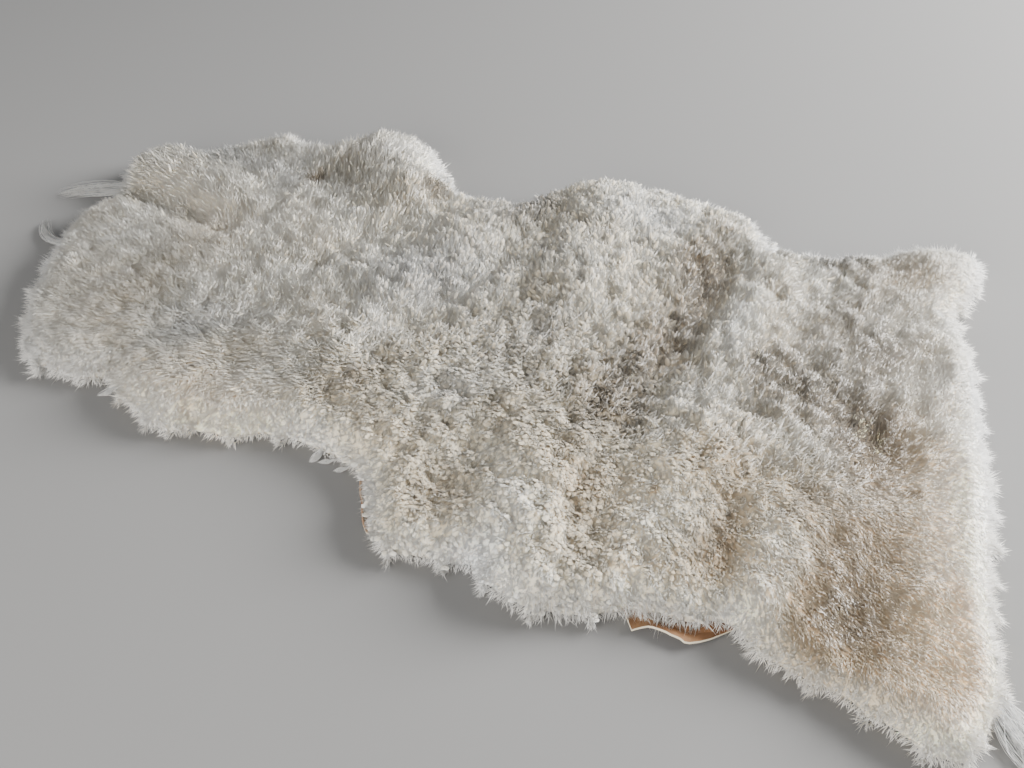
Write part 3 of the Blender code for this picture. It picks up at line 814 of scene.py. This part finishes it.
rim_parts = []
for turn in np.radians(RIM_TURNS):
    places = spread_out(rim_order[LUCK.permutation(len(rim_order))], RIM_SPACING)
    x, y = np.repeat(places[:, :2], RIM_TUFT, axis=0).T
    count = len(x)
    level = np.zeros(count)
    out = np.stack([at(OUT_X, x, y), at(OUT_Y, x, y), level], axis=1)
    out /= np.linalg.norm(out, axis=1, keepdims=True)
    back = out * (RIM_ROUND * (1 - np.cos(turn)) + RIM_SUNK)
    roots = np.stack([x, y, level], axis=1) - back + LUCK.normal(0, STRAY_ROOT, (count, 3))
    crest = at(TOP, *(roots - out * RIM_SUNK).T[:2]) - TOP_SUNK
    roots[:, 2] = np.maximum(ROOT_LOWEST + (crest - ROOT_LOWEST) * np.sin(turn), PILE_LOWEST)
    tuft = np.repeat(LUCK.normal(0, 1, (3, len(places))), RIM_TUFT, axis=1)
    heading = (np.arctan2(out[:, 1], out[:, 0]) + STRAY_HEADING[0] * tuft[0]
               + LUCK.normal(0, STRAY_HEADING[1], count))
    length = RIM_LENGTH * (1 + STRAY_LENGTH * tuft[1]) * LUCK.uniform(*RIM_SHARE, count)
    for _, px, py, reach, longer in RIM_LONGER:
        length *= 1 + longer * np.exp(-((x - px) ** 2 + (y - py) ** 2) / (2 * reach ** 2))
    rise = (np.degrees(turn) * RIM_RISE[0] + RIM_RISE[1] + STRAY_RISE[0] * tuft[2]
            + LUCK.normal(0, STRAY_RISE[1], count))
    paths = walked(roots, np.tile(UP, (count, 1)), heading, 90 - rise, level, level, length,
                   (0.0, 1.0))
    paths[..., 2] = np.maximum(paths[..., 2], RIM_LOWEST)
    warm, shade = coloured(x, y)
    rim_parts.append((paths, LUCK.uniform(*RIM_WIDTH, count) / 1000, warm, shade,
                      LUCK.uniform(*RIM_LUCK, count)))
strands = [np.concatenate(part) for part in zip(*rim_parts)]
WOOL.append(strand_piece("rim_wool", *strands[:2], (1.0,), 3, 0.7, 0.85, 0.6, *strands[2:]))

# %% [markdown]
# ## The loose locks
#
# A few long locks have come free: a bluish wisp and a curl at the neck, small teardrops in the
# near armpit and a wisp at the rump corner. Each is a bundle of fine hairs along one bent
# line, wide in the middle and drawn together at its end.

# %% The table of loose locks
LOOSE = (
    # name, root x and y, heading, bend over the whole length, length, width, height, hairs,
    # where along it the lock is widest, how much its ends are pinched, its shade
    # a shade below nought is painted light, which lifts the lock out of the rug's shadow
    ("nape wisp", -0.540, 0.112, 176, 56, 0.106, 0.034, 0.008, 96, 0.50, 1.0, -0.45),
    ("neck curl", -0.554, -0.014, 178, -72, 0.078, 0.014, 0.008, 60, 0.50, 0.8, -0.45),
    ("armpit drop", -0.092, -0.205, 252, 0, 0.027, 0.009, 0.008, 60, 0.72, 1.2, -0.50),
    ("armpit drop two", -0.064, -0.213, 205, 4, 0.032, 0.0056, 0.006, 50, 0.80, 2.6, -0.60),
    ("armpit drop three", -0.048, -0.215, 217, -4, 0.030, 0.0056, 0.006, 50, 0.80, 2.6, -0.60),
    ("throat tuft", -0.342, -0.206, 225, 6, 0.026, 0.010, 0.007, 40, 0.50, 1.0, -0.30),
    ("rump wisp", 0.562, -0.268, 316, -10, 0.098, 0.038, 0.010, 110, 0.50, 1.0, -0.45),
)
LOOSE_STEPS = 8
LOOSE_PROFILE = (0.8, 0.9, 1.0, 1.0, 1.0, 0.9, 0.75, 0.5)
LOOSE_ROOT = 0.010          # height of its root, metres
LOOSE_FALL = 0.0014         # how much it sinks at each step
LOOSE_LOWEST = 0.0009       # metres above the floor
LOOSE_SWELL = (0.10, 0.84)  # its outline: from where on half a wave, and over how much of it
LOOSE_TURN = 1.5            # radians that a hair winds round the lock
LOOSE_STRAY = 0.16          # how far a hair's tip strays aside, in widths of the lock
LOOSE_NARROW = 0.01         # locks narrower than this keep together
LOOSE_ENDS = (-1.2, 0.3)    # how much shorter or longer hairs are, in steps
LOOSE_WIDTH = (0.35, 0.70)  # mm
LOOSE_WARMTH = 0.16

# %% Loose locks


def bent_line(x, y, heading, bend, length, height):
    """The middle line of a loose lock, which sinks to the floor and turns as it goes."""
    angle = math.radians(heading)
    line = [Vector((x, y, LOOSE_ROOT))]
    for k in range(LOOSE_STEPS):
        ahead = line[-1] + Vector((math.cos(angle), math.sin(angle), 0)) * length / LOOSE_STEPS
        ahead.z = max(height * 0.5, LOOSE_ROOT - LOOSE_FALL * (k + 1))
        line.append(ahead)
        angle += math.radians(bend / LOOSE_STEPS)
    return np.array(line)


loose_parts = []
for name, x, y, heading, bend, length, width, height, hairs, widest, pinch, dark in LOOSE:
    line = bent_line(x, y, heading, bend, length, height)
    ahead = np.gradient(line, axis=0)
    across = np.stack([-ahead[:, 1], ahead[:, 0], np.zeros(len(line))], axis=1)
    across /= np.linalg.norm(across, axis=1, keepdims=True)
    share = np.linspace(0, 1, LOOSE_STEPS + 1)
    wave = LOOSE_SWELL[0] + LOOSE_SWELL[1] * share ** (math.log(0.5) / math.log(widest))
    swell = np.sin(np.pi * wave) ** pinch
    turn = (LUCK.uniform(0, 2 * np.pi, (hairs, 1))
            + LUCK.normal(0, LOOSE_TURN, (hairs, 1)) * share)
    far = np.sqrt(LUCK.uniform(0, 1, (hairs, 1))) * swell / 2
    stray = LUCK.normal(0, LOOSE_STRAY, (hairs, 1)) * share ** 2 * (width > LOOSE_NARROW)
    paths = (line[None] + across[None] * ((np.cos(turn) * far + stray) * width)[..., None]
             + UP * (np.sin(turn) * far * height)[..., None])
    paths += ahead[None] * (LUCK.uniform(*LOOSE_ENDS, (hairs, 1)) * share ** 2)[..., None]
    paths[..., 2] = np.maximum(paths[..., 2], LOOSE_LOWEST)
    loose_parts.append((paths, LUCK.uniform(*LOOSE_WIDTH, hairs) / 1000,
                        np.full(hairs, LOOSE_WARMTH), np.full(hairs, dark),
                        LUCK.uniform(0, 1, hairs)))
strands = [np.concatenate(part) for part in zip(*loose_parts)]
WOOL.append(strand_piece("loose_locks", *strands[:2], LOOSE_PROFILE, 3, 0.7, 0.7, 0.7,
                         *strands[2:]))

# %% [markdown]
# ## The leather
#
# The skin is the model's own sheet, cut finer where it shows. Its edge looks cut with shears,
# in short uneven snips. On the near flank, where it comes out furthest, a table says how far in
# or out the cut runs; the other shown edges wander a little by a noise. Only what lies beyond
# the wool moves, and the sheet keeps its thickness.

# %% The hide
SHOWN_STEP = 0.006  # longer edges of the shown leather are cut in four
TRIM = (
    # x along the near flank, how far in its edge was trimmed there, mm
    (0.250, 0.0), (0.260, -3.5), (0.269, 3.3), (0.277, 7.6), (0.291, 5.8), (0.305, 1.0),
    (0.3085, -2.7), (0.322, -3.4), (0.332, -1.8), (0.340, 0.0),
)
SNIP = 0.0014       # metres that the other shown edges wander in and out
SNIP_SIZE = 0.011   # metres from one wander to the next
MERGED = 0.00001    # corners nearer than this become one
HELD = 0.001        # metres beyond the rim where the sheet isn't moved at all
TRIM_BLEND = 0.012  # and those over which a trim or a snip reaches its full size
SNIP_BLEND = 0.006
NEAR_SIDE = -0.24   # y below which the trim table counts

hide_mesh = bpy.data.meshes.new("tanned_hide")
skin = bmesh.new()
skin.from_mesh(HIDE.data)
bmesh.ops.remove_doubles(skin, verts=skin.verts, dist=MERGED)
shown = {vert for vert in skin.verts if at(INSET, vert.co.x, vert.co.y) <= 0}
coarse = [edge for edge in skin.edges
          if edge.calc_length() > SHOWN_STEP and shown.issuperset(edge.verts)]
bmesh.ops.subdivide_edges(skin, edges=coarse, cuts=3)
for vert in skin.verts:
    edge, _, away = rim_tree.find((vert.co.x, vert.co.y, 0))
    if at(INSET, vert.co.x, vert.co.y) > 0 or away < HELD:
        continue
    out = (Vector((vert.co.x, vert.co.y, 0)) - edge).normalized()
    if vert.co.y < NEAR_SIDE and TRIM[0][0] < vert.co.x < TRIM[-1][0]:
        vert.co.y += np.interp(vert.co.x, *zip(*TRIM)) / 1000 * min(1, away / TRIM_BLEND)
    else:
        vert.co += out * (SNIP * noise.noise(vert.co / SNIP_SIZE) * min(1, away / SNIP_BLEND))
bmesh.ops.triangulate(skin, faces=skin.faces)
skin.to_mesh(hide_mesh)
skin.free()
hide = in_scene("tanned_hide", hide_mesh)
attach(hide, "root")
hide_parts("hide")
print("hide triangles:", len(hide_mesh.polygons), "edges cut:", len(coarse))

# %% [markdown]
# ## Wool's colour
#
# Every wool piece shares one look, so it's a node group: it takes how far along its strand a
# spot is, how warm and how shaded the wool is there, and a bit of luck for each strand. Roots
# are greasy and darker, and tips are bleached, but less so where the wool is stained. The group
# gives a colour and nothing else.

# %% Small helpers for node trees


def linked(tree, node, name, source):
    """Feed one input of a node from another node's output, or set its value."""
    if isinstance(source, bpy.types.NodeSocket):
        tree.links.new(source, node.inputs[name])
    else:
        node.inputs[name].default_value = source


def mixed(tree, factor, first, second, blend='MIX'):
    """A colour mix of two sockets or plain colours; gives its output socket."""
    node = tree.nodes.new('ShaderNodeMix')
    node.data_type = 'RGBA'
    node.blend_type = blend
    linked(tree, node, 0, factor)
    linked(tree, node, 6, first)
    linked(tree, node, 7, second)
    return node.outputs[2]


def ramped(tree, factor, stops):
    """A colour ramp read at a factor; gives its colour socket."""
    node = tree.nodes.new('ShaderNodeValToRGB')
    linked(tree, node, "Fac", factor)
    ramp = node.color_ramp
    while len(ramp.elements) < len(stops):
        ramp.elements.new(0.5)
    for element, (place, colour) in zip(ramp.elements, stops):
        element.position = place
        element.color = (*colour, 1.0)
    return node.outputs["Color"]


def reckoned(tree, operation, first, second, clamp=False):
    """One operation on two sockets or numbers; gives its output socket."""
    node = tree.nodes.new('ShaderNodeMath')
    node.operation = operation
    node.use_clamp = clamp
    linked(tree, node, 0, first)
    linked(tree, node, 1, second)
    return node.outputs[0]


def bumped(tree, shader, height, strength, distance):
    """Let a height socket bend a shader's normal."""
    bump = tree.nodes.new('ShaderNodeBump')
    bump.inputs["Strength"].default_value = strength
    bump.inputs["Distance"].default_value = distance
    tree.links.new(height, bump.inputs["Height"])
    tree.links.new(bump.outputs["Normal"], shader.inputs["Normal"])


# %% A shared group for wool's colour
# the group's inputs, and the marks of a mesh that feed them
WOOL_MARKS = (("Along", "along"), ("Warmth", "warm"), ("Shade", "shade"), ("Luck", "luck"))
WOOL_TINTS = (
    # warmth, colour
    (0.00, (0.70, 0.74, 0.80)),
    (0.25, (0.83, 0.78, 0.68)),
    (0.50, (0.87, 0.76, 0.56)),
    (0.75, (0.76, 0.61, 0.41)),
    (1.00, (0.57, 0.40, 0.23)),
)
ROOT_STAIN = (0.82, 0.74, 0.63, 1.0)
TIP_BLEACH = (0.95, 0.91, 0.83, 1.0)
ROOT_GROWTH = 1.5          # the root's stain is gone at one over this along a strand
TIP_POWER = 3.0            # high, so that only the tip is bleached
TIP_SHARE = 0.52           # how much at most
PALEST_FROM = 1.20         # this less the warmth, at most one, is the share that counts
LUCK_RANGE = (0.76, 0.20)  # how bright the unluckiest strand is, how much more the luckiest

wool_colour = bpy.data.node_groups.new("wool_colour", 'ShaderNodeTree')
for name, _ in WOOL_MARKS:
    taken = wool_colour.interface.new_socket(name, in_out='INPUT', socket_type='NodeSocketFloat')
    taken.default_value = 0.5
wool_colour.interface.new_socket("Colour", in_out='OUTPUT', socket_type='NodeSocketColor')
given = wool_colour.nodes.new('NodeGroupInput').outputs
tint = ramped(wool_colour, given["Warmth"], WOOL_TINTS)
stained = mixed(wool_colour, 1.0, tint, ROOT_STAIN, 'MULTIPLY')
rising = reckoned(wool_colour, 'MULTIPLY', given["Along"], ROOT_GROWTH, clamp=True)
body = mixed(wool_colour, rising, stained, tint)
paler = reckoned(wool_colour, 'SUBTRACT', PALEST_FROM, given["Warmth"], clamp=True)
tips = reckoned(wool_colour, 'POWER', given["Along"], TIP_POWER)
tips = reckoned(wool_colour, 'MULTIPLY', tips, paler)
tips = reckoned(wool_colour, 'MULTIPLY', tips, TIP_SHARE)
bleached = mixed(wool_colour, tips, body, TIP_BLEACH)
uneven = reckoned(wool_colour, 'MULTIPLY_ADD', given["Luck"], LUCK_RANGE[1])
uneven.node.inputs[2].default_value = LUCK_RANGE[0]
unshaded = reckoned(wool_colour, 'SUBTRACT', 1.0, given["Shade"])
lit = reckoned(wool_colour, 'MULTIPLY', uneven, unshaded)
scaled = wool_colour.nodes.new('ShaderNodeVectorMath')
scaled.operation = 'SCALE'
wool_colour.links.new(bleached, scaled.inputs[0])
wool_colour.links.new(lit, scaled.inputs["Scale"])
result = wool_colour.nodes.new('NodeGroupOutput').inputs["Colour"]
wool_colour.links.new(scaled.outputs[0], result)
print("wool_colour nodes:", len(wool_colour.nodes))

# %% Wool's material
WOOL_SHADER = {
    "Roughness": 0.85,
    "Specular IOR Level": 0.25,
    "Sheen Weight": 0.10,
    "Sheen Roughness": 0.5,
    "Subsurface Weight": 0.8,
    "Subsurface Radius": (1.0, 0.9, 0.8),
    "Subsurface Scale": 0.007,
}
FIBRE_DETAIL = 2.0
FIBRE_BUMP = 0.3


def wool_material(name, fibre_size, fibre_depth):
    """Matt wool: the shared colour, and a fine bump of single hairs."""
    made = bpy.data.materials.new(name)
    made.use_nodes = True
    tree = made.node_tree
    shader = tree.nodes["Principled BSDF"]
    colour = tree.nodes.new('ShaderNodeGroup')
    colour.node_tree = wool_colour
    for entry, mark in WOOL_MARKS:
        carried = tree.nodes.new('ShaderNodeAttribute')
        carried.attribute_name = mark
        tree.links.new(carried.outputs["Fac"], colour.inputs[entry])
    tree.links.new(colour.outputs["Colour"], shader.inputs["Base Color"])
    for setting, value in WOOL_SHADER.items():
        shader.inputs[setting].default_value = value
    hairs = tree.nodes.new('ShaderNodeTexNoise')
    hairs.inputs["Scale"].default_value = 1 / fibre_size
    hairs.inputs["Detail"].default_value = FIBRE_DETAIL
    place = tree.nodes.new('ShaderNodeTexCoord')
    tree.links.new(place.outputs["Object"], hairs.inputs["Vector"])
    bumped(tree, shader, hairs.outputs["Fac"], FIBRE_BUMP, fibre_depth)
    return made


LOCK_FINISH = wool_material("wool_locks", 0.0012, 0.0004)
UNDER_FINISH = wool_material("wool_felt", 0.0022, 0.0020)
for piece in WOOL:
    piece.data.materials.clear()
    piece.data.materials.append(UNDER_FINISH if piece is under else LOCK_FINISH)
print("wool pieces:", [piece.name for piece in WOOL])

# %% Leather's material
# the leather's own brown, made darker still as painted shade of the wool that overhangs it
FACE_TINTS = (
    # value of the clouds, colour
    (0.30, (0.16, 0.070, 0.030)),
    (0.50, (0.27, 0.135, 0.062)),
    (0.70, (0.40, 0.25, 0.135)),
)
CUT_TINT = (0.78, 0.70, 0.54, 1.0)                  # the cut edge is paler than the face
CUT_FACES = ((0.45, (1, 1, 1)), (0.80, (0, 0, 0)))  # the steep ones, not the level ones
CLOUD_SCALE, CLOUD_DETAIL = 28.0, 5.0
GRAIN_SCALE, GRAIN_BUMP, GRAIN_DEPTH = 700.0, 0.35, 0.0003
LEATHER_ROUGHNESS = 0.6

leather = bpy.data.materials.new("tanned_leather")
leather.use_nodes = True
tree = leather.node_tree
shader = tree.nodes["Principled BSDF"]
shader.inputs["Roughness"].default_value = LEATHER_ROUGHNESS
place = tree.nodes.new('ShaderNodeTexCoord')
clouds = tree.nodes.new('ShaderNodeTexNoise')
clouds.inputs["Scale"].default_value = CLOUD_SCALE
clouds.inputs["Detail"].default_value = CLOUD_DETAIL
tree.links.new(place.outputs["Object"], clouds.inputs["Vector"])
face_tint = ramped(tree, clouds.outputs["Fac"], FACE_TINTS)
faced = tree.nodes.new('ShaderNodeNewGeometry').outputs["True Normal"]
facing_way = tree.nodes.new('ShaderNodeSeparateXYZ')
tree.links.new(faced, facing_way.inputs[0])
level = reckoned(tree, 'ABSOLUTE', facing_way.outputs["Z"], 0.0)
cut = ramped(tree, level, CUT_FACES)
tree.links.new(mixed(tree, cut, face_tint, CUT_TINT), shader.inputs["Base Color"])
grain = tree.nodes.new('ShaderNodeTexVoronoi')
grain.inputs["Scale"].default_value = GRAIN_SCALE
tree.links.new(place.outputs["Object"], grain.inputs["Vector"])
bumped(tree, shader, grain.outputs["Distance"], GRAIN_BUMP, GRAIN_DEPTH)
hide_mesh.materials.append(leather)
print("leather nodes:", len(tree.nodes))
